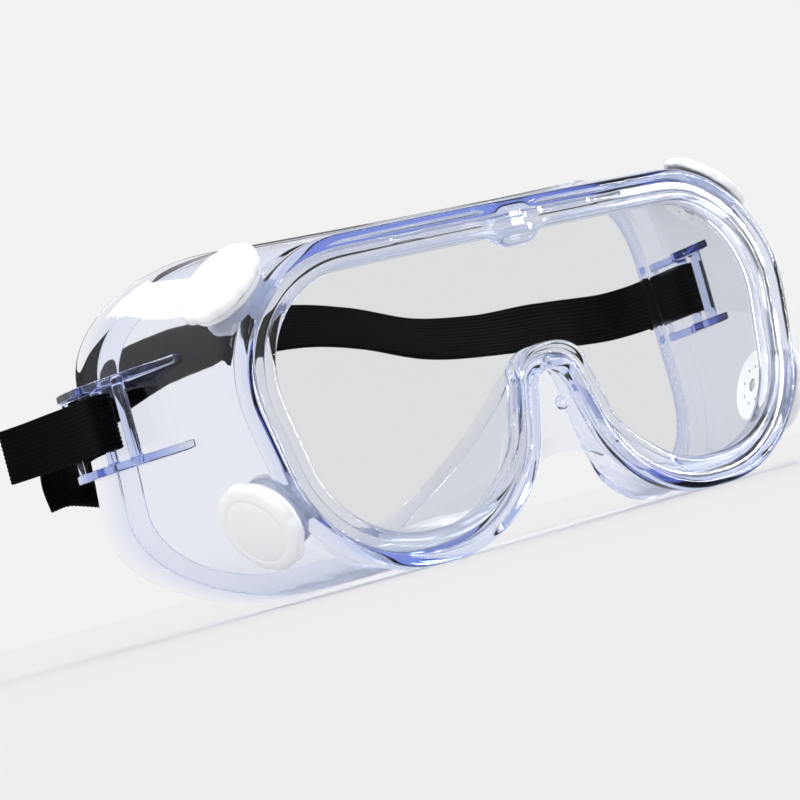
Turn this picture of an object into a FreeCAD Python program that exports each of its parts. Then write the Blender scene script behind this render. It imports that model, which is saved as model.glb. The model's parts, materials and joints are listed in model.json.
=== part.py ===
import FreeCAD, Part
import Sketcher
import math
import os
from FreeCAD import Vector as V

# Clear splash goggles. Units are millimetres. X runs across the face, Y runs from the lens
# towards the wearer, Z is up. The lens frame stands on Z = 0 and the left side is at -X.

doc = FreeCAD.newDocument("splash_goggles")
sheet = doc.addObject("Spreadsheet::Sheet", "Sizes")

SIZES = [
    # front outline of the lens frame
    ("front_half_width", 76.0), ("front_height", 76.5), ("front_corner_radius", 30.7),
    ("front_lobe_outer_x", 41.2), ("front_lobe_outer_radius", 32.5),
    ("front_lobe_inner_x", 37.6), ("front_lobe_inner_radius", 31.0),
    ("front_nose_height", 36.3), ("front_nose_radius", 5.4), ("front_base", 0.0),
    # outline of the body extended to the rear station
    ("rear_half_width", 86.0), ("rear_height", 89.7), ("rear_corner_radius", 26.5),
    ("rear_lobe_outer_x", 61.0), ("rear_lobe_outer_radius", 27.0),
    ("rear_lobe_inner_x", 58.0), ("rear_lobe_inner_radius", 11.0),
    ("rear_nose_height", 44.0), ("rear_nose_radius", 11.0), ("rear_base", 1.0),
    ("rear_station", 80.0),
    # lens frame section
    ("frame_band", 7.8), ("frame_depth", 6.5), ("front_curve_radius", 700.0),
    ("groove_inset", 2.7), ("groove_front", 2.0), ("groove_back", 4.6),
    ("lens_inset", 3.0), ("lens_front", 2.3), ("lens_thickness", 2.0),
    ("channel_outer", 2.4), ("channel_inner", 5.2), ("channel_depth", 1.0),
    # body wall and face flange
    ("wall_thickness", 2.0), ("wall_front_inset", 1.5),
    ("face_curve_radius", 120.0), ("face_depth", 34.0),
    ("flange_out", 0.3), ("flange_in", 6.5), ("flange_thickness", 2.2),
    # vents
    ("vent_station", 16.5), ("boss_radius", 9.6), ("boss_length", 4.0), ("hole_radius", 7.8),
    ("seat_flange_radius", 9.6), ("seat_inner_radius", 8.7), ("seat_flange", 1.2),
    ("seat_bore", 6.2), ("cap_radius", 11.2), ("cap_height", 5.4), ("stem_radius", 1.5),
    ("stem_gap", 0.08), ("hub_radius", 3.0),
    ("air_hole_radius", 0.4), ("air_hole_count", 8),
    # nose
    ("nose_tip", 9.3), ("nose_tip_radius", 10.0), ("nose_flank_angle", 47.7),
    ("web_front", 5.0), ("web_thickness", 1.5), ("web_edge_radius", 20.0), ("web_edge_z", -2.8),
    # strap lugs
    ("rail_thickness", 2.0), ("rail_low", 39.4), ("rail_high", 58.8),
    # strap
    ("strap_width", 13.0), ("strap_thickness", 1.5), ("strap_wrap_radius", 2.4),
]

for row, (name, value) in enumerate(SIZES, start=1):
    sheet.set("A%d" % row, name)
    sheet.set("B%d" % row, str(value))
    sheet.setAlias("B%d" % row, name)
doc.recompute()


def size(name):
    """Value of one named cell of the sheet."""
    return float(getattr(sheet, name))


# ---------------------------------------------------------------- outlines

KEYS = ("half_width", "height", "corner_radius", "lobe_outer_x", "lobe_outer_radius",
        "lobe_inner_x", "lobe_inner_radius", "nose_height", "nose_radius", "base")
FRONT = {key: size("front_" + key) for key in KEYS}
REAR = {key: size("rear_" + key) for key in KEYS}


def station(depth):
    """Outline of the body wall between the front and the rear station."""
    share = depth / size("rear_station")
    return {key: FRONT[key] + (REAR[key] - FRONT[key]) * share for key in KEYS}


def polar(centre, radius, angle):
    return V(centre[0] + radius * math.cos(angle), 0, centre[1] + radius * math.sin(angle))


def mirrored(point):
    """The same point on the other side of the goggles."""
    return V(-point.x, point.y, point.z)


def outline(sizes, inset, depth):
    """Closed goggle outline at one depth, moved inwards by the inset, from lines and arcs."""
    corner = (sizes["half_width"] - sizes["corner_radius"], sizes["height"] - sizes["corner_radius"])
    outer = (sizes["lobe_outer_x"], sizes["base"] + sizes["lobe_outer_radius"])
    inner = (sizes["lobe_inner_x"], sizes["base"] + sizes["lobe_inner_radius"])
    nose = (0.0, sizes["nose_height"] - sizes["nose_radius"])
    corner_r = sizes["corner_radius"] - inset
    outer_r = sizes["lobe_outer_radius"] - inset
    inner_r = sizes["lobe_inner_radius"] - inset
    nose_r = sizes["nose_radius"] + inset

    # the side line touches the corner and lobe arcs, the leg line crosses from lobe to nose arc
    span = (outer[0] - corner[0], outer[1] - corner[1])
    side = math.atan2(span[1], span[0]) + math.acos((corner_r - outer_r) / math.hypot(*span))
    span = (nose[0] - inner[0], nose[1] - inner[1])
    leg = math.atan2(span[1], span[0]) + math.acos((inner_r + nose_r) / math.hypot(*span))
    if leg > 0:
        leg -= 2 * math.pi

    half = [
        ("line", V(0, 0, sizes["height"] - inset), polar(corner, corner_r, math.pi / 2)),
        ("arc", corner, corner_r, math.pi / 2, side),
        ("line", polar(corner, corner_r, side), polar(outer, outer_r, side)),
        ("arc", outer, outer_r, side, -math.pi / 2),
        ("line", polar(outer, outer_r, -math.pi / 2), polar(inner, inner_r, -math.pi / 2)),
        ("arc", inner, inner_r, -math.pi / 2, leg),
        ("line", polar(inner, inner_r, leg), polar(nose, nose_r, leg + math.pi)),
        ("arc", nose, nose_r, leg + math.pi, math.pi / 2),
    ]
    shift = V(0, depth, 0)
    right = []
    for item in half:
        if item[0] == "line":
            right.append([item[1] + shift, item[2] + shift])
        else:
            middle = (item[3] + item[4]) / 2
            right.append([polar(item[1], item[2], a) + shift for a in (item[3], middle, item[4])])
    left = [[mirrored(p) for p in reversed(points)] for points in reversed(right)]
    edges = []
    for points in right + left:
        if len(points) == 2:
            edges.append(Part.makeLine(points[0], points[1]))
        else:
            edges.append(Part.Arc(*points).toShape())
    return Part.Wire(edges)


def wire_object(name, wire):
    """Keeps an outline wire in the document as the section of a loft or extrusion."""
    obj = doc.addObject("Part::Feature", name)
    obj.Shape = wire
    return obj


def wall_loft(name, front_inset, rear_inset):
    """Solid flare from the front outline to the rear station."""
    loft = doc.addObject("Part::Loft", name)
    loft.Sections = [
        wire_object(name + "_front", outline(FRONT, front_inset, 0)),
        wire_object(name + "_rear", outline(REAR, rear_inset, size("rear_station"))),
    ]
    loft.Solid = True
    loft.Ruled = True
    return loft


def front_prism(name, inset):
    """Front outline carried straight through the depth of the lens frame."""
    prism = doc.addObject("Part::Extrusion", name)
    prism.Base = wire_object(name + "_outline", outline(FRONT, inset, -2))
    prism.DirMode = "Custom"
    prism.Dir = V(0, 1, 0)
    prism.LengthFwd = 20
    prism.Solid = True
    return prism


def cylinder_z(name, radius_expression, centre_expression, low=-20, height=140):
    """Upright cylinder whose radius and centre in Y follow the sheet."""
    obj = doc.addObject("Part::Cylinder", name)
    obj.Height = height
    obj.setExpression("Radius", radius_expression)
    obj.Placement = FreeCAD.Placement(V(0, 0, low), FreeCAD.Rotation())
    obj.setExpression(".Placement.Base.y", centre_expression)
    return obj


def cylinder_y(name, x, z, radius_expression, start, length):
    """Cylinder along Y, centred on one X and Z."""
    obj = doc.addObject("Part::Cylinder", name)
    obj.setExpression("Radius", radius_expression)
    obj.Height = length
    obj.Placement = FreeCAD.Placement(V(x, start, z), FreeCAD.Rotation(V(1, 0, 0), -90))
    return obj


def combine(kind, name, first, second):
    obj = doc.addObject("Part::" + kind, name)
    obj.Base = first
    obj.Tool = second
    return obj


def join(name, parts):
    obj = doc.addObject("Part::MultiFuse", name)
    obj.Shapes = parts
    return obj


def curved_layer(name, solid, front, back):
    """Keeps the part of a solid between two depths behind the curved front surface."""
    keep = cylinder_z(name + "_keep", "Sizes.front_curve_radius - (%s)" % front,
                      "Sizes.front_curve_radius")
    drop = cylinder_z(name + "_drop", "Sizes.front_curve_radius - (%s)" % back,
                      "Sizes.front_curve_radius")
    return combine("Cut", name, combine("Common", name + "_slab", solid, keep), drop)


# ---------------------------------------------------------------- vent seats in the wall

def wall_seat(region, angle_degrees):
    """Point on the wall and its outward direction, on the corner or the outer lobe arc."""
    def point(depth):
        sizes = station(depth)
        inset = size("wall_front_inset") * (1 - depth / size("rear_station"))
        if region == "corner":
            radius = sizes["corner_radius"]
            centre = (sizes["half_width"] - radius, sizes["height"] - radius)
        else:
            radius = sizes["lobe_outer_radius"]
            centre = (sizes["lobe_outer_x"], sizes["base"] + radius)
        return polar(centre, radius - inset, math.radians(angle_degrees)) + V(0, depth, 0)

    depth = size("vent_station")
    along = point(depth + 1) - point(depth - 1)
    around = V(-math.sin(math.radians(angle_degrees)), 0, math.cos(math.radians(angle_degrees)))
    normal = along.cross(around).normalize()
    if normal.x < 0:
        normal = normal * -1
    return point(depth), normal


VENTS = {}
for level, region, angle in (("upper", "corner", 47), ("lower", "lobe", -24)):
    place, outward = wall_seat(region, angle)
    VENTS[level + "_left"] = FreeCAD.Placement(
        mirrored(place), FreeCAD.Rotation(V(0, 0, 1), mirrored(outward)))
    VENTS[level + "_right"] = FreeCAD.Placement(place, FreeCAD.Rotation(V(0, 0, 1), outward))


# ---------------------------------------------------------------- goggle body

def tilted_cylinder(name, placement, radius_expression, low, height):
    """Cylinder along a vent's axis, starting at the given height above the wall."""
    obj = doc.addObject("Part::Cylinder", name)
    obj.setExpression("Radius", radius_expression)
    obj.Height = height
    obj.Placement = placement.multiply(FreeCAD.Placement(V(0, 0, low), FreeCAD.Rotation()))
    return obj


def box(name, low, high):
    obj = doc.addObject("Part::Box", name)
    obj.Length = high[0] - low[0]
    obj.Width = high[1] - low[1]
    obj.Height = high[2] - low[2]
    obj.Placement = FreeCAD.Placement(V(*low), FreeCAD.Rotation())
    return obj


def front_sag(x):
    """How far the curved front lies behind Y = 0 at one X."""
    radius = size("front_curve_radius")
    return radius - math.sqrt(radius * radius - x * x)


def nose_space():
    """Upright prism that opens the wall and flange round the wearer's nose."""
    radius = size("nose_tip_radius")
    angle = math.radians(size("nose_flank_angle"))
    middle = size("nose_tip") + radius
    touch = V(radius * math.sin(angle), middle - radius * math.cos(angle), -5)
    far = V(60, touch.y + (60 - touch.x) * math.tan(angle), -5)
    right = [touch, far, V(60, 140, -5)]
    left = [mirrored(point) for point in reversed(right)]
    tip = Part.Arc(left[2], V(0, size("nose_tip"), -5), touch).toShape()
    sides = Part.makePolygon(right + left)
    prism = doc.addObject("Part::Extrusion", "nose_space")
    prism.Base = wire_object("nose_plan", Part.Wire([tip] + sides.Edges))
    prism.DirMode = "Custom"
    prism.Dir = V(0, 0, 1)
    prism.LengthFwd = 57
    prism.Solid = True
    return prism


def nose_web():
    """Thin panel between the legs of the nose notch, with an arched lower edge and a gate disc."""
    front = size("web_front")
    panel = box("web_panel", (-16, front, 9), (16, front + size("web_thickness"), 40))
    edge = cylinder_y("web_edge", 0, size("web_edge_z"), "Sizes.web_edge_radius", 0, 12)
    panel = combine("Cut", "web_arched", panel, edge)
    panel = combine("Cut", "nose_web", panel, front_prism("web_limit", 2.0))
    disc = cylinder_y("gate_disc", 3.0, 28.1, "2.2 mm", front - 0.5, 1.0)
    return [panel, disc]


def make_body():
    """One soft moulding: lens frame, nose web, wall, face flange, vent bosses and top clip."""
    frame = curved_layer("lens_frame", combine("Cut", "frame_ring", front_prism("frame_outside", 0),
                                               front_prism("frame_window", size("frame_band"))),
                         "0", "Sizes.frame_depth")

    thick = size("wall_thickness")
    outside = wall_loft("wall_outside", size("wall_front_inset"), 0)
    inside = wall_loft("wall_inside", size("wall_front_inset") + thick, thick)
    ahead = cylinder_z("wall_start", "Sizes.front_curve_radius - Sizes.groove_back - 0.6",
                       "Sizes.front_curve_radius")
    face = cylinder_z("face_surface", "Sizes.face_curve_radius",
                      "Sizes.face_depth + Sizes.face_curve_radius")
    shell = combine("Cut", "wall_shell", outside, inside)
    shell = combine("Common", "wall_behind_lens", shell, ahead)
    shell = combine("Cut", "wall", shell, face)

    flange_outside = wall_loft("flange_outside", 0.5, -size("flange_out"))
    flange_inside = wall_loft("flange_inside", size("flange_in") + 1.5, size("flange_in"))
    flange = combine("Cut", "flange_ring", flange_outside, flange_inside)
    flange_back = cylinder_z("flange_back", "Sizes.face_curve_radius + Sizes.flange_thickness",
                             "Sizes.face_depth + Sizes.face_curve_radius")
    flange = combine("Common", "flange_layer", flange, flange_back)
    face_again = cylinder_z("face_cut", "Sizes.face_curve_radius",
                            "Sizes.face_depth + Sizes.face_curve_radius")
    flange = combine("Cut", "face_flange", flange, face_again)
    shell = combine("Cut", "wall_at_nose", shell, nose_space())
    flange = combine("Cut", "flange_at_nose", flange, doc.getObject("nose_space"))

    bosses = [tilted_cylinder("boss_" + key, place, "Sizes.boss_radius", -size("boss_length"),
                              size("boss_length")) for key, place in VENTS.items()]
    top = size("front_height")
    clip = box("top_clip_block", (-8, -1.6, top - 11.5), (8, 1.5, top - 1.2))
    clip_soft = doc.addObject("Part::Fillet", "top_clip")
    clip_soft.Base = clip
    doc.recompute()
    front_edges = [i for i, edge in enumerate(clip.Shape.Edges, start=1)
                   if edge.CenterOfMass.y < 1.4]
    clip_soft.Edges = [(i, 1.2, 1.2) for i in front_edges]
    clip.Visibility = False

    solid = join("body_joined", [frame, shell, flange, clip_soft] + nose_web() + bosses)

    groove = curved_layer("lens_groove", front_prism("groove_outside", size("groove_inset")),
                          "Sizes.groove_front", "Sizes.groove_back")
    channel_ring = combine("Cut", "channel_ring", front_prism("channel_outside", size("channel_outer")),
                           front_prism("channel_inside", size("channel_inner")))
    keep_clip = box("channel_stop", (-8, -4, top - 12), (8, 12, top + 2))
    channel_ring = combine("Cut", "channel_run", channel_ring, keep_clip)
    channel = curved_layer("front_channel", channel_ring, "-2", "Sizes.channel_depth")
    holes = []
    for key, place in VENTS.items():
        holes += [
            tilted_cylinder("hole_" + key, place, "Sizes.hole_radius", -12, 24),
            tilted_cylinder("outer_relief_" + key, place, "Sizes.seat_flange_radius + 0.3", 0, 4),
            tilted_cylinder("inner_relief_" + key, place, "Sizes.seat_inner_radius + 0.3",
                            -size("boss_length") - 4, 4),
        ]
    slots = []
    middle = (size("channel_outer") + size("channel_inner")) / 2
    for number, (x, z, wide, tall) in enumerate((
            (28, top - middle, 7, 1.2), (46, top - middle - 0.05, 3, 1.2),
            (76 - middle, 41, 1.2, 4), (76 - middle, 45.8, 1.2, 2.2))):
        for sign in (-1, 1):
            sag = front_sag(x)
            low = (sign * x - wide / 2, sag - 1, z - tall / 2)
            high = (sign * x + wide / 2, sag + 2.2, z + tall / 2)
            slots.append(box("slot_%d_%s" % (number, "left" if sign < 0 else "right"), low, high))
    cutter = join("body_openings", [groove, channel] + holes + slots)
    return combine("Cut", "goggle_body", solid, cutter)


# ---------------------------------------------------------------- lens

def make_lens():
    """Clear curved sheet that sits in the groove of the lens frame."""
    return curved_layer("lens", front_prism("lens_outline", size("lens_inset")),
                        "Sizes.lens_front", "Sizes.lens_front + Sizes.lens_thickness")


# ---------------------------------------------------------------- turned vent pieces

def sketch_on(body, name, role):
    """Empty sketch on one of the body's own origin planes."""
    sketch = body.newObject("Sketcher::SketchObject", name)
    plane = [item for item in body.Origin.OriginFeatures if item.Role == role][0]
    sketch.AttachmentSupport = (plane, "")
    sketch.MapMode = "FlatFace"
    return sketch


def draw_closed(sketch, points):
    """Straight-sided closed profile with its corners joined."""
    count = len(points)
    for index in range(count):
        ends = (points[index], points[(index + 1) % count])
        sketch.addGeometry(Part.LineSegment(V(*ends[0], 0), V(*ends[1], 0)), False)
    for index in range(count):
        sketch.addConstraint(Sketcher.Constraint("Coincident", index, 2, (index + 1) % count, 1))


def revolve(body, name, points):
    """Turned solid about the body's Z axis from a half profile of radius and height."""
    sketch = sketch_on(body, name + "_profile", "XZ_Plane")
    draw_closed(sketch, points)
    turned = body.newObject("PartDesign::Revolution", name)
    turned.Profile = sketch
    turned.ReferenceAxis = (sketch, ["V_Axis"])
    turned.Angle = 360
    return turned


def ring_of_pockets(body, name, centre_radius, hole_radius, count):
    """Round pockets right through the piece, repeated about its axis."""
    sketch = sketch_on(body, name + "_circle", "XY_Plane")
    sketch.addGeometry(Part.Circle(V(centre_radius, 0, 0), V(0, 0, 1), hole_radius), False)
    pocket = body.newObject("PartDesign::Pocket", name)
    pocket.Profile = sketch
    pocket.Midplane = True
    pocket.Type = 1
    pattern = body.newObject("PartDesign::PolarPattern", name + "_pattern")
    pattern.Originals = [pocket]
    pattern.Axis = (sketch, ["N_Axis"])
    pattern.Angle = 360
    pattern.Occurrences = count
    body.Tip = pattern
    return pattern


def make_vent_seat(label, placement):
    """White seat clamped on the wall boss: two flanges, a floor with air holes and a hub."""
    body = doc.addObject("PartDesign::Body", "Body_" + label)
    body.Label = label
    bottom = -size("boss_length")
    rim = size("seat_flange_radius")
    inside = size("seat_inner_radius")
    flange = size("seat_flange")
    tube = size("hole_radius") - 0.1
    bore = size("seat_bore")
    inner = size("hub_radius")
    stem = size("stem_radius") + size("stem_gap")
    floor = bottom - flange
    revolve(body, "seat_" + label, [
        (stem, floor), (inside, floor), (inside, bottom), (tube, bottom), (tube, 0), (rim, 0),
        (rim, flange), (bore, flange), (bore, floor + 1.4), (inner, floor + 1.4),
        (inner, floor + 3.6), (stem, floor + 3.6)])
    ring_of_pockets(body, "air_holes_" + label, (bore + inner) / 2, size("air_hole_radius"),
                    int(size("air_hole_count")))
    body.Placement = placement
    return body


def make_vent_cap(label, placement):
    """White scalloped cap with a skirt over the seat and a stem in its hub."""
    body = doc.addObject("PartDesign::Body", "Body_" + label)
    body.Label = label
    low = size("seat_flange") + 0.7
    rim = size("cap_radius")
    top = size("cap_height")
    stem = size("stem_radius")
    floor = -size("boss_length") - size("seat_flange")
    revolve(body, "dome_" + label, [
        (0, floor), (stem, floor), (stem, top - 1.6), (rim - 1.6, top - 2.4), (rim - 1.2, low),
        (rim, low), (rim, top - 2.0), (rim - 0.8, top - 1.0), (rim - 3.2, top - 0.3), (0, top)])
    ring_of_pockets(body, "scallops_" + label, rim + 2.6, 3.0, 10)
    body.Placement = placement
    return body


# ---------------------------------------------------------------- strap lugs

# X and Y of a rail's corners, then X, Y and radius of each upright bar, on the right side
RAIL_PLAN = [(76, 27), (84.2, 42.5), (90.4, 58), (90.4, 70.0), (87.8, 70.0), (86.6, 68.0),
             (86.0, 66), (86.0, 60), (83.6, 50), (76, 50)]
LUG_BARS = [(85.4, 45.6, 1.5), (87.3, 54.0, 1.3), (88.95, 68.4, 0.8)]


def make_lug(label, sign, wall):
    """Three-bar clear buckle: two rails that run into the wall as fins, and three bars."""
    pieces = []
    for level in ("rail_low", "rail_high"):
        corners = [V(sign * x, y, size(level)) for x, y in RAIL_PLAN]
        plan = Part.makePolygon(corners + corners[:1])
        rail = doc.addObject("Part::Extrusion", label + "_" + level)
        rail.Base = wire_object(label + "_" + level + "_plan", plan)
        rail.DirMode = "Custom"
        rail.Dir = V(0, 0, 1)
        rail.setExpression("LengthFwd", "Sizes.rail_thickness")
        rail.Solid = True
        pieces.append(rail)
    for number, (x, y, radius) in enumerate(LUG_BARS):
        bar = doc.addObject("Part::Cylinder", "%s_bar_%d" % (label, number))
        bar.Radius = radius
        bar.setExpression("Height", "Sizes.rail_high - Sizes.rail_low")
        bar.Placement = FreeCAD.Placement(V(sign * x, y, size("rail_low") + 1), FreeCAD.Rotation())
        pieces.append(bar)
    off_wall = combine("Cut", label + "_off_wall", join(label + "_joined", pieces), wall)
    return combine("Cut", label, off_wall, doc.getObject("flange_at_nose"))


# ---------------------------------------------------------------- strap

def curve(points):
    """Smooth edges through points, one edge for each span between them."""
    spline = Part.BSplineCurve()
    spline.interpolate(points)
    knots = spline.getKnots()
    return [spline.toShape(low, high) for low, high in zip(knots[:-1], knots[1:])]


WRAP_X = 87.3
WRAP_Y = 54.0
LUG_LEVEL = 51.1

# left free end back to the wrap bar
TAIL = [V(-97.6, 89, 51.0), V(-94.6, 81, 51.0), V(-92.2, 73, 51.1), V(-90.3, 65, 51.1),
        V(-89.75, 58, 51.1)]
# from the left wrap bar, round the fold behind the goggles and across to the right wrap bar
MAIN = [V(-85.3, 57.5, 51.1), V(-86.9, 64, 50.9), V(-87.2, 71, 50.2), V(-87.0, 78, 48.6),
        V(-86.6, 86, 44.6), V(-83.2, 92.8, 43.4), V(-77.5, 93.2, 48.0), V(-70, 86.0, 56.5),
        V(-60, 78.5, 62.8), V(-42, 74, 66.2), V(-20, 74.5, 65.8), V(-3, 75.5, 62.6),
        V(15, 76, 57.4), V(35, 77.5, 54.2), V(57, 81, 52.6), V(74, 86.5, 51.6),
        V(82.5, 86.8, 51.2), V(86.6, 81.5, 51.1), V(87.1, 75, 51.1), V(87.1, 68.5, 51.1),
        V(86.6, 63, 51.1), V(85.3, 57.5, 51.1)]
# short right end outside the lug
END = [V(89.75, 58, 51.1), V(90.3, 65, 51.1), V(91.6, 74, 51.0), V(92.4, 82, 51.0)]


def wrap_arc(sign):
    """Half turn of the strap round a wrap bar, from the outside to the inside of the lug."""
    centre = V(sign * WRAP_X, WRAP_Y, LUG_LEVEL)
    radius = size("strap_wrap_radius")
    turn = [math.radians(step * 45) for step in range(5)]
    return [centre + V(sign * math.cos(a), -math.sin(a), 0) * radius for a in turn]


def make_strap():
    """Flat woven band: a rectangle kept upright and carried along the strap's route."""
    edges = curve(TAIL + wrap_arc(-1) + MAIN + wrap_arc(1)[::-1] + END)
    route = Part.Wire(edges)
    start = TAIL[0]
    tangent = edges[0].tangentAt(edges[0].FirstParameter)
    across = tangent.cross(V(0, 0, 1)).normalize() * (size("strap_thickness") / 2)
    rise = V(0, 0, size("strap_width") / 2)
    corners = [start + across + rise, start - across + rise,
               start - across - rise, start + across - rise]
    section = Part.makePolygon(corners + corners[:1])
    sweep = Part.BRepOffsetAPI.MakePipeShell(route)
    sweep.setBiNormalMode(V(0, 0, 1))
    sweep.add(section, False, False)
    sweep.build()
    sweep.makeSolid()
    strap = doc.addObject("Part::Feature", "strap")
    strap.Shape = sweep.shape()
    print("strap route length %.1f mm, volume over section x length %.3f" % (
        route.Length,
        strap.Shape.Volume / (size("strap_width") * size("strap_thickness") * route.Length)))
    return strap


# ---------------------------------------------------------------- build and write

parts = {"goggle_body": make_body(), "lens": make_lens(), "strap": make_strap()}
doc.recompute()
for key, placement in VENTS.items():
    parts["vent_seat_" + key] = make_vent_seat("vent_seat_" + key, placement)
    parts["vent_cap_" + key] = make_vent_cap("vent_cap_" + key, placement)
for hand, sign in (("left", -1), ("right", 1)):
    inner, outer = sorted((sign * 60, sign * 100))
    side = box("lug_side_" + hand, (inner, 20, 30), (outer, 75, 70))
    wall = wall_loft("lug_wall_" + hand, size("wall_front_inset"), 0)
    fit = combine("Common", "lug_fit_" + hand, wall, side)
    parts["strap_lug_" + hand] = make_lug("strap_lug_" + hand, sign, fit)
doc.recompute()

os.makedirs("parts", exist_ok=True)
for obj in doc.Objects:
    if "Invalid" in obj.State or "Error" in obj.State:
        raise RuntimeError("object %s is %s" % (obj.Name, obj.State))
for node, obj in parts.items():
    obj.Label = node
    shape = obj.Shape
    if shape.isNull() or not shape.isValid():
        raise RuntimeError(node + " has no valid shape")
    shape.exportStep("parts/%s.step" % node)
    extent = shape.optimalBoundingBox()
    print("%-24s solids %d volume %9.1f  x %6.1f..%6.1f y %6.1f..%6.1f z %6.1f..%6.1f" % (
        node, len(shape.Solids), shape.Volume, extent.XMin, extent.XMax, extent.YMin, extent.YMax,
        extent.ZMin, extent.ZMax))
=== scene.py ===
import json
import math

import bmesh
import bpy
from mathutils import Matrix, Vector
from mathutils.geometry import delaunay_2d_cdt


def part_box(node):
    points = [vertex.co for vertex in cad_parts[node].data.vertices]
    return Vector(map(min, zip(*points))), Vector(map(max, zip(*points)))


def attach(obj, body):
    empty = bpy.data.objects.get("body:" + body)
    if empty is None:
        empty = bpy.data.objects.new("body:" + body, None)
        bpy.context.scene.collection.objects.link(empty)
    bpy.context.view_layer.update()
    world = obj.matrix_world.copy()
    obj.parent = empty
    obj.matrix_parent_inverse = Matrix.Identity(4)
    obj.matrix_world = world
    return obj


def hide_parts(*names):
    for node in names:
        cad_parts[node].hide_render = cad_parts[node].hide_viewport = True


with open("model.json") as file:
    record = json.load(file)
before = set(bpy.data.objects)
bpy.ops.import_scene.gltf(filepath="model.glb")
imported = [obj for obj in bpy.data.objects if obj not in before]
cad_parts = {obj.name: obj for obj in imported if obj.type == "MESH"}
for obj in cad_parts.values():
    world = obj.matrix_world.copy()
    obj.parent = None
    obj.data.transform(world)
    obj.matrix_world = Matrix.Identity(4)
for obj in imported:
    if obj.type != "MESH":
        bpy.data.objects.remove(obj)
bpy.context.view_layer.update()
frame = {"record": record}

MM = 0.001

# ---------------------------------------------------------------- camera

camera_data = bpy.data.cameras.new("camera")
camera_data.sensor_width = 36.0
camera_data.lens = 118.0
camera_data.clip_start = 0.01
camera = bpy.data.objects.new("camera", camera_data)
bpy.context.scene.collection.objects.link(camera)
bpy.context.scene.camera = camera


def aim_camera(azimuth, elevation, roll, distance, target, shift_right, shift_up):
    """Looks at a point from an azimuth and elevation, with the picture turned by the roll."""
    a, e, r = (math.radians(v) for v in (azimuth, elevation, roll))
    back = Vector((math.sin(a) * math.cos(e), -math.cos(a) * math.cos(e), math.sin(e)))
    level = Vector((math.cos(a), math.sin(a), 0))
    above = back.cross(level)
    right = level * math.cos(r) + above * math.sin(r)
    up = above * math.cos(r) - level * math.sin(r)
    place = Vector(target) + back * distance + right * shift_right + up * shift_up
    turn = Matrix((right, up, back)).transposed().to_4x4()
    camera.matrix_world = Matrix.Translation(place) @ turn


aim_camera(azimuth=-31.7, elevation=-3.0, roll=-15.4, distance=0.618, target=(0.0, 0.023, 0.0377),
           shift_right=-0.0234, shift_up=-0.0048)

# ---------------------------------------------------------------- goggle outline

# plan of the goggles at the lens and at the face: upper corner, outer lobe, inner lobe and nose
FRONT = dict(half_width=76.0, height=76.5, corner=30.7, outer_x=41.2, outer_r=32.5,
             inner_x=37.6, inner_r=31.0, nose_top=36.3, nose_r=5.4, base=0.0)
REAR = dict(half_width=86.0, height=89.7, corner=26.5, outer_x=61.0, outer_r=27.0,
            inner_x=58.0, inner_r=11.0, nose_top=44.0, nose_r=11.0, base=1.0)
REAR_AT = 80.0
FRONT_CURVE = 700.0
FACE_CURVE = 120.0
FACE_AT = 34.0
FRONT_INSET = 1.5
NOSE_TIP = 9.3
NOSE_TIP_R = 10.0
NOSE_FLANK = 47.7
NOSE_TOP = 52.0
ARCH_SPREAD = 0.15
ARCH_LIFT = 1.1
FRAME_WIDTH = 7.8
WALL_START = 6.6
DEPTH_GUESS = 30.0
DEPTH_ROUNDS = 12
# the half outline runs top, corner, side, outer lobe, base, inner lobe, nose leg, nose arch
TOP, CORNER, SIDE, LOBE, NOSE_LEG, NOSE_ARCH = 0, 1, 2, 3, 6, 7
STEPS = (34, 22, 8, 26, 4, 28, 12, 14)


def station(depth):
    """Outline sizes at one depth, between the front and the rear."""
    share = depth / REAR_AT
    return {key: FRONT[key] + (REAR[key] - FRONT[key]) * share for key in FRONT}


def circle_point(centre, radius, angle):
    return centre[0] + radius * math.cos(angle), centre[1] + radius * math.sin(angle)


def half_outline(sizes, inset):
    """Right half of the outline as lines and arcs, from the top middle to the nose top."""
    corner = (sizes["half_width"] - sizes["corner"], sizes["height"] - sizes["corner"])
    outer = (sizes["outer_x"], sizes["base"] + sizes["outer_r"])
    inner = (sizes["inner_x"], sizes["base"] + sizes["inner_r"])
    nose = (0.0, sizes["nose_top"] - sizes["nose_r"])
    r_c, r_o = sizes["corner"] - inset, sizes["outer_r"] - inset
    r_i, r_n = sizes["inner_r"] - inset, sizes["nose_r"] + inset
    span = (outer[0] - corner[0], outer[1] - corner[1])
    side = math.atan2(span[1], span[0]) + math.acos((r_c - r_o) / math.hypot(*span))
    span = (nose[0] - inner[0], nose[1] - inner[1])
    leg = math.atan2(span[1], span[0]) + math.acos((r_i + r_n) / math.hypot(*span))
    if leg > 0:
        leg -= 2 * math.pi
    down, up = -math.pi / 2, math.pi / 2
    return [
        ((0.0, sizes["height"] - inset), circle_point(corner, r_c, up)),
        (corner, r_c, up, side),
        (circle_point(corner, r_c, side), circle_point(outer, r_o, side)),
        (outer, r_o, side, down),
        (circle_point(outer, r_o, down), circle_point(inner, r_i, down)),
        (inner, r_i, down, leg),
        (circle_point(inner, r_i, leg), circle_point(nose, r_n, leg + math.pi)),
        (nose, r_n, leg + math.pi, up),
    ]


def outline_point(sizes, inset, piece, share):
    """Point on one of the eight lines and arcs of the half outline, at a share of its length."""
    item = half_outline(sizes, inset)[piece]
    if len(item) == 2:
        return tuple(a + (b - a) * share for a, b in zip(*item))
    return circle_point(item[0], item[1], item[2] + (item[3] - item[2]) * share)


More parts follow.
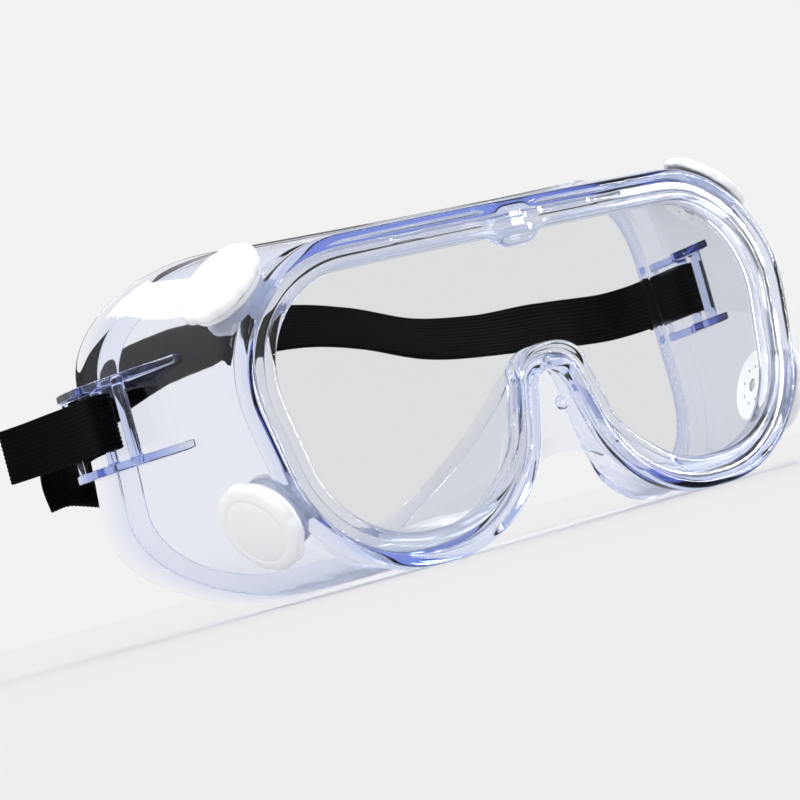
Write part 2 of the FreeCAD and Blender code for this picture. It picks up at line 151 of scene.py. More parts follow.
# places along the closed outline: (side, piece, share)
HALF = [(piece, k / count) for piece, count in enumerate(STEPS) for k in range(count)]
HALF.append((NOSE_ARCH, 1.0))
AROUND = [(1, piece, share) for piece, share in HALF]
AROUND += [(-1, piece, share) for piece, share in reversed(HALF[1:-1])]


def front_sag(x):
    """Depth of the curved front behind its middle."""
    return FRONT_CURVE - math.sqrt(FRONT_CURVE ** 2 - x * x)


def face_depth(x):
    """Depth of the rear edge where it follows the face."""
    return FACE_AT + FACE_CURVE - math.sqrt(FACE_CURVE ** 2 - x * x)


def nose_depth(x):
    """Depth of the space left for the nose, a rounded V in plan."""
    angle = math.radians(NOSE_FLANK)
    middle = NOSE_TIP + NOSE_TIP_R
    touch = NOSE_TIP_R * math.sin(angle)
    if abs(x) < touch:
        return middle - math.sqrt(NOSE_TIP_R ** 2 - x * x)
    return middle - NOSE_TIP_R * math.cos(angle) + (abs(x) - touch) * math.tan(angle)


def rear_depth(x, z):
    """Depth of the body's rear edge: the face surface, cut back round the nose."""
    if z > NOSE_TOP:
        return face_depth(x)
    return min(face_depth(x), nose_depth(x))


def smooth(value, low, high):
    """Eased step from 0 at low to 1 at high."""
    t = min(max((value - low) / (high - low), 0.0), 1.0)
    return t * t * (3 - 2 * t)


def squared_arch(x, z, share, inset):
    """Pushes the shoulders of the nose arch outwards, so that its top runs flatter."""
    base = FRONT["nose_top"] - FRONT["nose_r"]
    angle = math.atan2(z - base, x)
    amount = smooth(share, 0.0, 0.3) * max(inset, 0.0) / FRAME_WIDTH
    grow = ARCH_SPREAD * math.sin(2 * angle) ** 2 * amount
    lift = ARCH_LIFT * math.sin(angle) ** 2 * amount
    return x * (1 + grow), base + (z - base) * (1 + grow) + lift


def frame_point(place, inset, depth):
    """Point of the lens frame: inset from the front outline, depth behind the curved front."""
    side, piece, share = place
    x, z = outline_point(FRONT, inset, piece, share)
    if piece == NOSE_ARCH:
        x, z = squared_arch(x, z, share, inset)
    return Vector((side * x, front_sag(x) + depth, z))


def wall_point(place, inset, share_back, before_face=0.0):
    """Point of the flared wall, from the lens frame (0) to the face surface (1)."""
    side, piece, share = place
    depth = DEPTH_GUESS
    for _ in range(DEPTH_ROUNDS):
        sizes = station(depth)
        x, z = outline_point(sizes, inset + FRONT_INSET * (1 - depth / REAR_AT), piece, share)
        near, far = front_sag(x) + WALL_START, rear_depth(x, z)
        depth = near + (far - near) * share_back - before_face
    return Vector((side * x, depth, z))


# ---------------------------------------------------------------- mesh helpers

def new_object(name, mesh):
    """Adds an object to the scene, at the origin."""
    obj = bpy.data.objects.new(name, mesh)
    bpy.context.scene.collection.objects.link(obj)
    return obj


def face_outwards(mesh):
    """Turns all faces outwards and drops points that no face uses."""
    bm = bmesh.new()
    bm.from_mesh(mesh)
    loose = [v for v in bm.verts if not v.link_faces]
    bmesh.ops.delete(bm, geom=loose, context="VERTS")
    bmesh.ops.recalc_face_normals(bm, faces=bm.faces)
    bm.to_mesh(mesh)
    bm.free()


def grid_mesh(name, rings, close_rings=True, close_section=True, caps=False):
    """Quad mesh from rings of equal length; each ring is one section."""
    mesh = bpy.data.meshes.new(name)
    count = len(rings[0])
    points = [tuple(v * MM) for ring in rings for v in ring]
    faces = []
    last = len(rings) if close_rings else len(rings) - 1
    width = count if close_section else count - 1
    for i in range(last):
        j = (i + 1) % len(rings)
        for k in range(width):
            m = (k + 1) % count
            faces.append((i * count + k, i * count + m, j * count + m, j * count + k))
    if caps:
        faces.append(tuple(range(count - 1, -1, -1)))
        start = (len(rings) - 1) * count
        faces.append(tuple(range(start, start + count)))
    mesh.from_pydata(points, [], faces)
    face_outwards(mesh)
    mesh.shade_smooth()
    return mesh


def subdivide(obj):
    mod = obj.modifiers.new("subdivide", "SUBSURF")
    mod.levels = 1
    mod.render_levels = 1


# ---------------------------------------------------------------- materials

def material(name):
    """New material with its node tree and its Principled shader."""
    mat = bpy.data.materials.new(name)
    mat.use_nodes = True
    return mat, mat.node_tree, mat.node_tree.nodes["Principled BSDF"]


def add_node(tree, kind, values=None, feeds=None):
    """New shader node; values sets its sockets and feeds links them to (node, output) pairs."""
    node = tree.nodes.new("ShaderNode" + kind)
    for socket, value in (values or {}).items():
        node.inputs[socket].default_value = value
    for socket, (source, output) in (feeds or {}).items():
        tree.links.new(source.outputs[output], node.inputs[socket])
    return node


def rough_and_bumped(tree, shader, noise, haze, strength, distance):
    """Lets a noise vary the roughness between two values and raise faint bumps."""
    spread = add_node(tree, "MapRange", {"To Min": haze[0], "To Max": haze[1]},
                      {"Value": (noise, "Fac")})
    bump = add_node(tree, "Bump", {"Strength": strength, "Distance": distance},
                    {"Height": (noise, "Fac")})
    tree.links.new(spread.outputs["Result"], shader.inputs["Roughness"])
    tree.links.new(bump.outputs["Normal"], shader.inputs["Normal"])


def clear_plastic(name, tint, ior, roughness, gloss, ripple, ripple_size, absorb, density):
    """Clear moulding: glass with a faint flow ripple and a tint that grows with thickness."""
    mat, tree, shader = material(name)
    shader.inputs["Base Color"].default_value = tint
    shader.inputs["Transmission Weight"].default_value = 1.0
    shader.inputs["IOR"].default_value = ior
    shader.inputs["Coat Weight"].default_value = gloss
    shader.inputs["Coat Roughness"].default_value = 0.02
    place = add_node(tree, "TexCoord")
    noise = add_node(tree, "TexNoise", {"Scale": ripple_size, "Detail": 2.0},
                     {"Vector": (place, "Object")})
    rough_and_bumped(tree, shader, noise, (roughness * 0.6, roughness * 1.5), ripple, 0.0006)
    volume = add_node(tree, "VolumeAbsorption", {"Color": absorb, "Density": density})
    tree.links.new(volume.outputs["Volume"], tree.nodes["Material Output"].inputs["Volume"])
    return mat


def white_plastic():
    """Hard white moulding with a fine satin texture."""
    mat, tree, shader = material("white_vent")
    shader.inputs["Base Color"].default_value = (0.87, 0.88, 0.89, 1)
    shader.inputs["Subsurface Weight"].default_value = 0.15
    shader.inputs["Subsurface Radius"].default_value = (0.002, 0.002, 0.002)
    place = add_node(tree, "TexCoord")
    noise = add_node(tree, "TexNoise", {"Scale": 900.0, "Detail": 3.0}, {"Vector": (place, "Object")})
    rough_and_bumped(tree, shader, noise, (0.28, 0.42), 0.06, 0.0002)
    return mat


def woven_black():
    """Elastic band: rows of threads across a ribbed face, from the band's own UV map."""
    mat, tree, shader = material("black_elastic")
    shader.inputs["Roughness"].default_value = 0.8
    shader.inputs["Specular IOR Level"].default_value = 0.04
    shader.inputs["Sheen Weight"].default_value = 0.01
    shader.inputs["Sheen Roughness"].default_value = 0.5
    place = add_node(tree, "UVMap")
    place.uv_map = "weave"
    threads = add_node(tree, "TexWave",
                       {"Scale": 420.0, "Distortion": 1.5, "Detail": 2.0, "Detail Scale": 8.0},
                       {"Vector": (place, "UV")})
    threads.bands_direction = "Y"
    fibre = add_node(tree, "TexNoise", {"Scale": 2600.0}, {"Vector": (place, "UV")})
    mix = add_node(tree, "Math", {}, {0: (threads, "Fac"), 1: (fibre, "Fac")})
    mix.operation = "MULTIPLY"
    tone = add_node(tree, "ValToRGB", {}, {"Fac": (mix, "Value")})
    tone.color_ramp.elements[0].color = (0.0006, 0.0006, 0.0009, 1)
    tone.color_ramp.elements[1].color = (0.0026, 0.0026, 0.0045, 1)
    bump = add_node(tree, "Bump", {"Strength": 0.5, "Distance": 0.0002}, {"Height": (mix, "Value")})
    tree.links.new(tone.outputs["Color"], shader.inputs["Base Color"])
    tree.links.new(bump.outputs["Normal"], shader.inputs["Normal"])
    return mat


PVC = clear_plastic("clear_pvc", tint=(0.985, 0.99, 1.0, 1), ior=1.22, roughness=0.04, gloss=0.12,
                    ripple=0.25, ripple_size=45.0, absorb=(0.22, 0.38, 0.88, 1), density=48.0)
# the lens's grey tint is painted shade: it darkens everything seen through the lens, standing for the
# goggles' shadow on the floor behind it
LENS = clear_plastic("clear_lens", tint=(0.82, 0.825, 0.83, 1), ior=1.09, roughness=0.0, gloss=0.0,
                     ripple=0.0, ripple_size=20.0, absorb=(0.75, 0.85, 0.95, 1), density=8.0)
LUG = clear_plastic("clear_lug", tint=(0.95, 0.97, 1.0, 1), ior=1.3, roughness=0.03, gloss=0.4,
                    ripple=0.1, ripple_size=60.0, absorb=(0.16, 0.32, 0.84, 1), density=170.0)
WHITE = white_plastic()
BLACK = woven_black()

# ---------------------------------------------------------------- body moulding

# frame section as (inset, depth, extra inset at the clip, extra height at the clip), in two runs:
# over the front, from the lens opening to the wall, then inside, from the wall to the lens groove
FRAME_FRONT = [
    (7.8, 0.9, 3.4, 0.9), (7.3, 0.2, 3.3, 1.5), (6.6, 0.0, 2.2, 1.7), (5.7, 0.1, 1.6, 1.9),
    (5.25, 0.7, 1.0, 2.4), (5.0, 1.1, 0.6, 2.7), (4.7, 1.12, 0.4, 2.7), (3.3, 1.12, 0.2, 2.6),
    (3.0, 1.1, 0, 2.5), (2.55, 0.75, 0, 1.9), (2.2, 0.05, 0, 0.9), (1.4, -0.3, 0, 0.2), (0.5, 0, 0, 0),
    (0, 0.8, 0, 0), (-0.1, 2.6, 0, 0), (-0.1, 4.6, 0, 0), (0.15, 5.8, 0, 0), (0.8, 6.4, 0, 0)]
FRAME_INSIDE = [
    (3.9, 6.6, 0, 0), (4.8, 6.5, 0, 0), (7.2, 6.5, 0, 0), (7.7, 6.2, 0, 0), (7.8, 5.5, 0, 0),
    (7.8, 4.8, 0, 0), (7.6, 4.6, 0, 0), (3.0, 4.6, 0, 0), (2.7, 4.4, 0, 0), (2.7, 2.2, 0, 0),
    (3.0, 2.0, 0, 0), (7.6, 2.0, 3.2, 0), (7.8, 1.8, 3.4, 0)]
# face flange as (inset, distance before the face)
FLANGE = [(0.0, 2.9), (-0.1, 2.1), (-0.35, 1.5), (-0.5, 0.8), (-0.35, 0.15), (0.3, 0.0), (2.6, 0.0),
          (5.4, 0.0), (6.3, 0.3), (6.5, 1.0), (6.2, 1.7), (5.3, 2.1), (3.3, 2.2), (2.4, 2.6), (2.0, 3.4)]
BEAD_INSET = 3.0
CHANNEL_MIDDLE = 4.0
NOSE_NARROWING = 0.5
CLIP_FADE = (2.5, 8.8)
FLANGE_FADE = (27.0, 33.0)
WALL_THICK = 2.0
WALL_OUTSIDE = (0.01, 0.04, 0.1, 0.2, 0.32, 0.45, 0.58, 0.7, 0.8, 0.88, 0.93)
WALL_INSIDE = (0.85, 0.75, 0.62, 0.5, 0.38, 0.26, 0.15, 0.06)
CHANNEL_FLOOR = 1.12
SLOTS_IN_TOP = ((24.5, 31.5), (44.5, 47.5))
SLOTS_IN_SIDE = ((39.0, 43.0), (44.7, 46.9))
SLOT_SINK = 0.9
SLOT_EASE = 0.5


def slot_depth(place):
    """Extra depth of the small moulded slots in the floor of the front channel."""
    point = frame_point(place, CHANNEL_MIDDLE, 0)
    x, z = abs(point.x), point.z
    if place[1] == TOP:
        along, spans = x, SLOTS_IN_TOP
    elif place[1] in (CORNER, SIDE) and x > 60:
        along, spans = z, SLOTS_IN_SIDE
    else:
        return 0.0
    inside = [smooth(along, low - SLOT_EASE, low + SLOT_EASE)
              * (1 - smooth(along, high - SLOT_EASE, high + SLOT_EASE)) for low, high in spans]
    return SLOT_SINK * max(inside)


def near_nose(place):
    """1 along the nose notch, fading to 0 along the inner lobes."""
    piece, share = place[1], place[2]
    if piece >= NOSE_LEG:
        return 1.0
    return smooth(share, 0.5, 1.0) if piece == NOSE_LEG - 1 else 0.0


def body_section(place):
    """One section through the moulding: channel, outer bead, wall, face flange, lens groove."""
    clip = 0.0
    if place[1] == TOP:
        clip = 1 - smooth(abs(frame_point(place, CHANNEL_MIDDLE, 0).x), *CLIP_FADE)
    narrow = 1.0 - NOSE_NARROWING * near_nose(place)
    slot = slot_depth(place)
    rear = wall_point(place, 0.0, 1.0)
    flange = smooth(abs(rear.x), *FLANGE_FADE) if rear.z < NOSE_TOP else 1.0

    def frame_run(run):
        points = []
        for inset, depth, reach, proud in run:
            if inset > BEAD_INSET:
                inset = BEAD_INSET + (inset - BEAD_INSET) * narrow
            if depth == CHANNEL_FLOOR:
                depth += slot
            points.append(frame_point(place, inset + reach * clip, depth - proud * clip))
        return points

    ring = frame_run(FRAME_FRONT)
    ring += [wall_point(place, 0.0, share) for share in WALL_OUTSIDE]
    for inset, before in FLANGE:
        lip = max(-0.5, min(inset, WALL_THICK)) + max(inset - WALL_THICK, 0.0) * flange
        ring.append(wall_point(place, lip, 1.0, before * (0.35 + 0.65 * flange)))
    ring += [wall_point(place, WALL_THICK, share) for share in WALL_INSIDE]
    return ring + frame_run(FRAME_INSIDE)


body = new_object("body_moulding", grid_mesh("body_moulding", [body_section(p) for p in AROUND]))
body.data.materials.append(PVC)
subdivide(body)
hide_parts("goggle_body")
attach(body, "goggles")

# ---------------------------------------------------------------- lens

def sheet_mesh(name, edge, spacing, front, thickness):
    """Sheet in front view bounded by the edge, with a front surface depth and a thickness."""
    flat = [Vector(point) for point in edge]
    count = len(flat)
    wide = int(max(p.x for p in flat) / spacing) + 1
    low = int(min(p.y for p in flat) / spacing) - 1
    high = int(max(p.y for p in flat) / spacing) + 1
    inside = [Vector((i * spacing, j * spacing)) for i in range(-wide, wide + 1)
              for j in range(low, high + 1)]
    inside = [p for p in inside if min((p - q).length for q in flat) > spacing * 0.5]
    border = [(i, (i + 1) % count) for i in range(count)]
    points, _, faces, _, _, _ = delaunay_2d_cdt(flat + inside, border, [], 1, 0.0001)
    coords = [tuple(Vector((p.x, front(p.x, p.y) + depth, p.y)) * MM)
              for depth in (0.0, thickness) for p in points]
    offset = len(points)
    polys = [tuple(face) for face in faces]
    polys += [tuple(offset + v for v in reversed(face)) for face in faces]
    directed = {(a, b) for face in faces for a, b in zip(face, list(face[1:]) + [face[0]])}
    polys += [(b, a, offset + a, offset + b) for a, b in directed if (b, a) not in directed]
    mesh = bpy.data.meshes.new(name)
    mesh.from_pydata(coords, [], polys)
    face_outwards(mesh)
    mesh.shade_smooth()
    mesh.set_sharp_from_angle(angle=math.radians(40))
    return mesh


LENS_DEPTH = 2.3
LENS_THICK = 2.0


def lens_front(x, z):
    """The lens follows the curved front and is the same at every height."""
    return front_sag(x) + LENS_DEPTH


LENS_EDGE = [(p.x, p.z) for p in (frame_point(place, BEAD_INSET, 0) for place in AROUND)]
lens = new_object("lens_sheet", sheet_mesh("lens_sheet", LENS_EDGE, 4.0, lens_front, LENS_THICK))
lens.data.materials.append(LENS)
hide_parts("lens")
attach(lens, "goggles")

# ---------------------------------------------------------------- nose web

WEB_EDGE_R = 20.0
WEB_EDGE_Z = -2.8
WEB_CORNER = 0.9
WEB_THICK = 1.4
WEB_DEPTH, WEB_DISH, WEB_CURL = 3.6, 1.6, 1.8


def web_lower(x):
    """Height of the web's arched lower edge."""
    return WEB_EDGE_Z + math.sqrt(max(WEB_EDGE_R ** 2 - x * x, 0.0))


def web_outline():
    """Front view of the web: the nose notch, just inside the frame, and an arched lower edge."""
    half = [(piece, k / 12) for piece in (7, 6, 5) for k in range(12, -1, -1)]
    side = []
    for piece, share in half:
        x, z = outline_point(FRONT, 0.5, piece, share)
        if z < web_lower(x) + WEB_CORNER:
            break
        if not side or (Vector((x, z)) - Vector(side[-1])).length > 0.2:
            side.append((x, z))
    last = side[-1][0]
    low = [(last * k / 10, web_lower(last * k / 10)) for k in range(9, 0, -1)]
    right = side[1:] + low
    return side[:1] + right + [(0.0, web_lower(0.0))] + [(-x, z) for x, z in reversed(right)]


def web_front(x, z):
    """The web is dished: it lies deepest along the middle and curls back at its lower edge."""
    middle = 1 - smooth(abs(x), 0.0, 8.0)
    curl = (1 - smooth(z - web_lower(x), 0.0, 7.0)) ** 2
    return front_sag(x) + WEB_DEPTH + WEB_DISH * middle + WEB_CURL * curl


web = new_object("nose_web", sheet_mesh("nose_web", web_outline(), 1.1, web_front, WEB_THICK))
web.data.materials.append(PVC)
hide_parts("goggle_body")
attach(web, "goggles")

# ---------------------------------------------------------------- vents

def vent_frame(node):
    """Axis and seat centre of a vent, from the slide joint of its cap and the CAD box."""
    for joint in frame["record"]["behaviour"]["joints"]:
        if joint["child"] == node:
            axis = Vector(joint["axis"]).normalized()
    low, high = (Vector(v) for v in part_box(node))
    return (low + high) / 2, axis


def lathe(name, profile, count, scallops=0, depth=0.0):
    """Turned shape about +Z; its outer edge may dip in a ring of shallow scallops."""
    rings = []
    rim = max(r for r, _ in profile)
    for i in range(count):
        angle = 2 * math.pi * i / count
        wave = (0.5 + 0.5 * math.cos(scallops * angle)) ** 3
        ring = []
        for radius, height in profile:
            near_edge = smooth(radius, rim * 0.82, rim)
            r = radius - depth * wave * near_edge
            ring.append(Vector((r * math.cos(angle), r * math.sin(angle), height)))
        rings.append(ring)
    return grid_mesh(name, rings, close_section=False)


# (radius, height) from the foot of the stem, under the cap, round its rim and over its face
CAP_PROFILE = [
    (0.02, -5.15), (1.3, -5.1), (1.5, -4.8), (1.5, 3.2), (1.8, 3.7), (9.4, 3.0), (9.9, 2.6),
    (10.0, 2.0), (10.3, 1.9), (10.9, 1.9), (11.15, 2.05), (11.2, 2.4), (11.15, 3.3), (10.8, 4.0),
    (10.1, 4.45), (8.9, 4.75), (8.2, 4.85), (8.0, 4.7), (7.6, 4.7), (7.4, 4.95), (5.0, 5.25),
    (2.5, 5.38), (0.02, 5.4)]
GATE_PROFILE = [(0.02, -0.7), (1.7, -0.7), (1.85, -0.5), (1.8, 0.0), (1.5, 0.35), (0.9, 0.55),
                (0.02, 0.6)]
GATE_X, GATE_Z = 3.0, 28.1

gate = new_object("gate_mark", lathe("gate_mark", GATE_PROFILE, 48))
gate.data.transform(Matrix.Rotation(math.pi / 2, 4, "X"))
gate.data.transform(Matrix.Translation(Vector((GATE_X, web_front(GATE_X, GATE_Z), GATE_Z)) * MM))
gate.data.materials.append(PVC)
subdivide(gate)
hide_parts("goggle_body")
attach(gate, "goggles")

for level in ("upper", "lower"):
    for hand in ("left", "right"):
        node = "vent_cap_%s_%s" % (level, hand)
        centre, axis = vent_frame(node)
        turned = lathe(node, CAP_PROFILE, 120, scallops=10, depth=0.45)
        cap = new_object("cap_%s_%s" % (level, hand), turned)
        cap.data.transform(axis.to_track_quat("Z", "Y").to_matrix().to_4x4())
        low = Vector([min(v.co[i] for v in cap.data.vertices) for i in range(3)])
        high = Vector([max(v.co[i] for v in cap.data.vertices) for i in range(3)])
        cap.data.transform(Matrix.Translation(centre - (low + high) / 2))
        cap.data.materials.append(WHITE)
        subdivide(cap)
        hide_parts(node)
        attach(cap, node)
        seat = bpy.data.objects["vent_seat_%s_%s" % (level, hand)]
        for slot in seat.material_slots:
            slot.material = WHITE

# ---------------------------------------------------------------- strap lugs

RAIL_LEVELS = (39.4, 58.8)
RAIL_THICK = 2.0
RAIL_OUTER = [(77.9, 30.4), (79.8, 34.4), (84.2, 42.5), (87.6, 51.0), (90.2, 58.0), (90.5, 64.0),
              (90.4, 69.0), (89.6, 70.0), (88.2, 70.0), (86.8, 68.2), (86.0, 66.0), (86.0, 60.0),
              (83.6, 50.0)]
RAIL_ROOTS = (50.0, 45.0, 40.0, 35.0, 29.5)
ROOT_SINK = 0.8
# bars as (x, depth, radius)
LUG_BARS = [(85.4, 45.6, 1.5), (87.3, 54.0, 1.3), (88.95, 68.4, 0.8)]
BAR_SIDES = 24


def side_x(depth, z):
    """Half width of the wall's outside at one depth and height, beside the lugs."""
    inset = FRONT_INSET * (1 - depth / REAR_AT)
    before = None
    for piece in (CORNER, SIDE, LOBE):
        for k in range(25):
            x, height = outline_point(station(depth), inset, piece, k / 24)
            if height <= z:
                share = (before[1] - z) / max(before[1] - height, 1e-6)
                return before[0] + (x - before[0]) * share
            before = (x, height)
    return before[0]


def add_prism(bm, plan, low, high):
    """Closed upright prism over a plan outline."""
    lower, upper = ([bm.verts.new((x * MM, y * MM, z * MM)) for x, y in plan] for z in (low, high))
    bm.faces.new(lower)
    bm.faces.new(reversed(upper))
    for i in range(len(plan)):
        j = (i + 1) % len(plan)
        bm.faces.new((lower[i], upper[i], upper[j], lower[j]))


def lug_mesh(sign):
    """Two rails that grow out of the wall as pointed fins, joined by three upright bars."""
    bm = bmesh.new()
    for level in RAIL_LEVELS:
        root = [(side_x(y, level + 1) - ROOT_SINK, y) for y in RAIL_ROOTS]
        add_prism(bm, [(sign * x, y) for x, y in RAIL_OUTER + root], level, level + RAIL_THICK)
    # the bars end inside the rails
    low, high = RAIL_LEVELS[0] + 0.8, RAIL_LEVELS[1] + 1.2
    angles = [2 * math.pi * k / BAR_SIDES for k in range(BAR_SIDES)]
    for x, y, radius in LUG_BARS:
        plan = [(sign * x + radius * math.cos(a), y + radius * math.sin(a)) for a in angles]
        add_prism(bm, plan, low, high)
    bmesh.ops.triangulate(bm, faces=[f for f in bm.faces if len(f.verts) > 4])
    bmesh.ops.recalc_face_normals(bm, faces=bm.faces)
    mesh = bpy.data.meshes.new("lug")
    bm.to_mesh(mesh)
    bm.free()
    return mesh


for hand, sign in (("left", -1), ("right", 1)):
    lug = new_object("lug_" + hand, lug_mesh(sign))
    lug.data.materials.append(LUG)
    melt = lug.modifiers.new("one_skin", "REMESH")
    melt.mode = "VOXEL"
    melt.voxel_size = 0.22 * MM
    melt.use_smooth_shade = True
    soften = lug.modifiers.new("soft_edges", "SMOOTH")
    soften.factor = 0.5
    soften.iterations = 10
    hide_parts("strap_lug_" + hand)
    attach(lug, "goggles")

# ---------------------------------------------------------------- strap

WRAP_X, WRAP_Y, WRAP = 87.3, 54.0, 2.4
LEVEL = 51.1
BAND_HALF = 6.5
BAND_THIN, RIB_HEIGHT = 0.66, 0.09
BAND_EDGE = 0.35
RIBS, STEPS_PER_RIB = 12, 8
ROUTE_STEP = 0.7
CURVE_STEPS = 24
UPRIGHT = (0, 0, 1)
LEANING = (0, 0.44, 0.9)
# each station: place of the band's middle, then the direction across its width
TAIL = [((-97.6, 89, 51.0), UPRIGHT), ((-94.6, 81, 51.0), UPRIGHT), ((-92.2, 73, 51.1), UPRIGHT),
        ((-90.3, 65, 51.1), UPRIGHT), ((-89.75, 58, 51.1), UPRIGHT)]
FOLD = [((-85.3, 57.5, 51.1), UPRIGHT), ((-86.8, 64, 50.9), UPRIGHT),
        ((-87.1, 71, 50.0), (0, 0.1, 1)), ((-86.8, 78.0, 47.6), (-0.3, 0.2, 0.9)),
        ((-86.0, 83.6, 44.0), (-0.75, 0.1, 0.6)), ((-84.2, 87.4, 40.0), (-0.95, 0, 0.28)),
        ((-83.0, 89.2, 36.8), (-0.96, 0, 0.26)), ((-82.6, 90.8, 37.0), (-0.96, 0, 0.26)),
        ((-82.0, 91.6, 40.2), (-0.96, 0, 0.28)), ((-81.0, 91.4, 45.4), (-0.92, 0, 0.36)),
        ((-78.0, 89.0, 52.4), (-0.72, 0, 0.68)), ((-73.0, 84.5, 58.4), (-0.5, 0, 0.87)),
        ((-66, 80.4, 62.2), (-0.27, 0.1, 1)), ((-57, 76.8, 64.8), (-0.1, 0.3, 0.95))]
BEHIND = [((-42, 74, 66.2), LEANING), ((-20, 74.5, 65.6), LEANING), ((-3, 75.5, 62.0), LEANING),
          ((15, 76, 55.9), LEANING), ((35, 77.5, 53.2), LEANING), ((57, 81, 52.4), (0, 0.25, 1)),
          ((74, 86.5, 51.6), UPRIGHT), ((82.5, 86.8, 51.2), UPRIGHT), ((86.6, 81.5, 51.1), UPRIGHT),
          ((87.1, 75, 51.1), UPRIGHT), ((87.1, 68.5, 51.1), UPRIGHT), ((86.6, 63, 51.1), UPRIGHT),
          ((85.3, 57.5, 51.1), UPRIGHT)]
END = [((89.75, 58, 51.1), UPRIGHT), ((90.3, 65, 51.1), UPRIGHT), ((91.6, 74, 51.0), UPRIGHT),
       ((92.4, 82, 51.0), UPRIGHT)]


def half_turn(sign, steps=9):
    """Strap round a wrap bar, from outside the lug to inside it."""
    angles = [math.pi * k / (steps - 1) for k in range(steps)]
    return [((sign * (WRAP_X + WRAP * math.cos(a)), WRAP_Y - WRAP * math.sin(a), LEVEL), UPRIGHT)
            for a in angles]


def between(a, b, t0, t1, t):
    """Straight blend that is a at t0 and b at t1."""
    return a * ((t1 - t) / (t1 - t0)) + b * ((t - t0) / (t1 - t0))


def smooth_line(stations, step):
    """Catmull-Rom line through the stations, resampled to an even step."""
    places = [Vector(place) for place, _ in stations]
    widths = [Vector(width).normalized() for _, width in stations]
    places = [places[0] * 2 - places[1]] + places + [places[-1] * 2 - places[-2]]
    fine = []
    for i in range(1, len(places) - 2):
        p0, p1, p2, p3 = places[i - 1:i + 3]
        t0 = 0.0
        t1 = t0 + (p1 - p0).length ** 0.5
        t2 = t1 + (p2 - p1).length ** 0.5
        t3 = t2 + (p3 - p2).length ** 0.5
        for k in range(CURVE_STEPS):
            share = k / CURVE_STEPS
            t = t1 + (t2 - t1) * share
            a1 = between(p0, p1, t0, t1, t)
            a2 = between(p1, p2, t1, t2, t)
            a3 = between(p2, p3, t2, t3, t)
            b1 = between(a1, a2, t0, t2, t)
            b2 = between(a2, a3, t1, t3, t)
            width = widths[i - 1].lerp(widths[i], smooth(share, 0.0, 1.0))
            fine.append((between(b1, b2, t1, t2, t), width))
    fine.append((places[-2], widths[-1]))
    length = [0.0]
    for a, b in zip(fine[:-1], fine[1:]):
        length.append(length[-1] + (b[0] - a[0]).length)
    count = int(length[-1] / step)
    out, k = [], 0
    for i in range(count + 1):
        goal = length[-1] * i / count
        while k < len(fine) - 2 and length[k + 1] < goal:
            k += 1
        share = (goal - length[k]) / max(length[k + 1] - length[k], 1e-9)
        out.append(tuple(a.lerp(b, share) for a, b in zip(fine[k], fine[k + 1])))
    return out


def strap_mesh():
    """Ribbed elastic band swept along its route, with rounded edges."""
    route = TAIL + half_turn(-1) + FOLD + BEHIND + half_turn(1)[::-1] + END
    line = smooth_line(route, ROUTE_STEP)
    across = []
    steps = RIBS * STEPS_PER_RIB
    for k in range(steps + 1):
        w = -BAND_HALF + BAND_EDGE + (2 * BAND_HALF - 2 * BAND_EDGE) * k / steps
        lift = BAND_THIN + RIB_HEIGHT * math.cos(2 * math.pi * RIBS * (k / steps))
        across.append((w, lift))
    section = across + [(BAND_HALF, BAND_EDGE), (BAND_HALF, -BAND_EDGE)]
    section += [(w, -lift) for w, lift in reversed(across)]
    section += [(-BAND_HALF, -BAND_EDGE), (-BAND_HALF, BAND_EDGE)]
    rings, travel = [], [0.0]
    for i, (point, width) in enumerate(line):
        ahead = line[min(i + 1, len(line) - 1)][0] - line[max(i - 1, 0)][0]
        ahead.normalize()
        rise = (width - ahead * width.dot(ahead)).normalized()
        side = ahead.cross(rise).normalized()
        if i:
            travel.append(travel[-1] + (point - line[i - 1][0]).length)
        rings.append([point + rise * w + side * d for w, d in section])
    mesh = grid_mesh("strap_band", rings, close_rings=False, caps=True)
    layer = mesh.uv_layers.new(name="weave")
    count = len(section)
    for loop in mesh.loops:
        ring, k = divmod(loop.vertex_index, count)
        layer.data[loop.index].uv = (section[k][0] * MM, travel[ring] * MM)
    return mesh


strap = new_object("strap_band", strap_mesh())
strap.data.materials.append(BLACK)
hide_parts("strap")
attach(strap, "goggles")

# ---------------------------------------------------------------- floor and light

FLOOR = 40

floor_mesh = bpy.data.meshes.new("floor")
floor_corners = [(-FLOOR, -FLOOR, 0), (FLOOR, -FLOOR, 0), (FLOOR, FLOOR, 0), (-FLOOR, FLOOR, 0)]
floor_mesh.from_pydata(floor_corners, [], [(0, 1, 2, 3)])
floor = new_object("floor", floor_mesh)
floor_mat, _, floor_shader = material("floor_paper")
floor_shader.inputs["Base Color"].default_value = (0.965, 0.965, 0.968, 1)
floor_shader.inputs["Roughness"].default_value = 1.0
floor_shader.inputs["Specular IOR Level"].default_value = 0.0
floor.data.materials.append(floor_mat)

world = bpy.data.worlds.new("studio")
bpy.context.scene.world = world
world.use_nodes = True
sky = world.node_tree.nodes["Background"]
sky.inputs["Color"].default_value = (0.887, 0.887, 0.889, 1)
sky.inputs["Strength"].default_value = 1.0


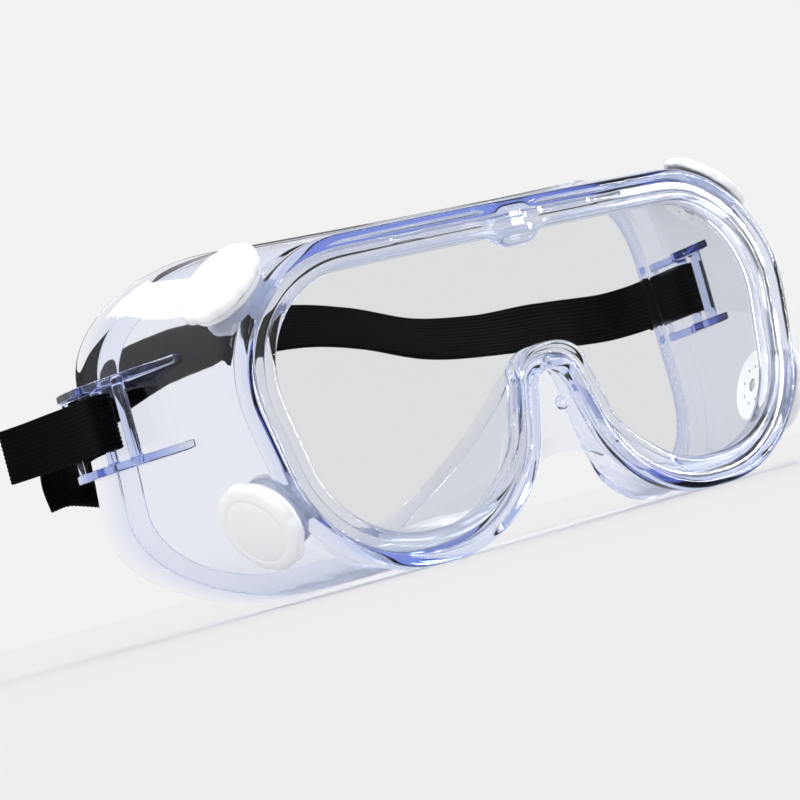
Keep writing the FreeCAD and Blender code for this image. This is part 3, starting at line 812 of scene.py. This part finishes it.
def light_group(name, pieces, state):
    """Receivers of a softbox: all but these pieces ("EXCLUDE"), or these alone ("INCLUDE")."""
    group = bpy.data.collections.new(name)
    for index, piece in enumerate(pieces):
        group.objects.link(piece)
        group.collection_objects[index].light_linking.link_state = state
    return group


SEATS = [bpy.data.objects["vent_seat_%s_%s" % (level, hand)]
         for level in ("upper", "lower") for hand in ("left", "right")]
BUT_FLOOR = light_group("all_but_the_floor", [floor], "EXCLUDE")
BODY_ALONE = light_group("moulding_alone", [body], "INCLUDE")
SEATS_ALONE = light_group("seats_alone", SEATS, "INCLUDE")


def softbox(name, place, target, width, height, power, receivers=BUT_FLOOR):
    """Rectangular light at a place, turned to its target; the floor is left to the world."""
    data = bpy.data.lights.new(name, "AREA")
    data.shape = "RECTANGLE"
    data.size = width
    data.size_y = height
    data.energy = power
    lamp = bpy.data.objects.new(name, data)
    lamp.light_linking.receiver_collection = receivers
    bpy.context.scene.collection.objects.link(lamp)
    turn = (Vector(target) - Vector(place)).to_track_quat("-Z", "Y").to_matrix().to_4x4()
    lamp.matrix_world = Matrix.Translation(place) @ turn


softbox("strip_rear", (-0.17, 0.665, 0.72), (-0.074, 0.054, 0.078), 0.42, 0.06, 1.2)
softbox("strip_front", (-0.17, 0.615, 0.745), (-0.067, 0.024, 0.073), 0.34, 0.05, 0.3)
softbox("key", (-0.65, -0.45, 0.65), (0, 0.03, 0.04), 0.30, 0.30, 2.2)
softbox("front_strip", (0.1, -0.35, 0.85), (0, 0.0, 0.04), 0.9, 0.07, 2.0)
softbox("side", (0.8, 0.1, 0.4), (0, 0.03, 0.04), 0.2, 0.4, 0.6)
softbox("corner", (0.75, -0.572, 0.142), (0.064, 0.0025, 0.063), 0.32, 0.26, 12.0, BODY_ALONE)
softbox("seat_fill", (-0.35, 0.40, 0.12), (0.07, 0.02, 0.04), 0.2, 0.2, 2.4, SEATS_ALONE)
softbox("clip", (0.516, -0.70, 0.307), (0, -0.001, 0.07), 0.10, 0.10, 1.8, BODY_ALONE)

LIGHT_BOUNCES = 24

scene = bpy.context.scene
scene.view_settings.view_transform = "Standard"
scene.cycles.max_bounces = LIGHT_BOUNCES
scene.cycles.transmission_bounces = LIGHT_BOUNCES
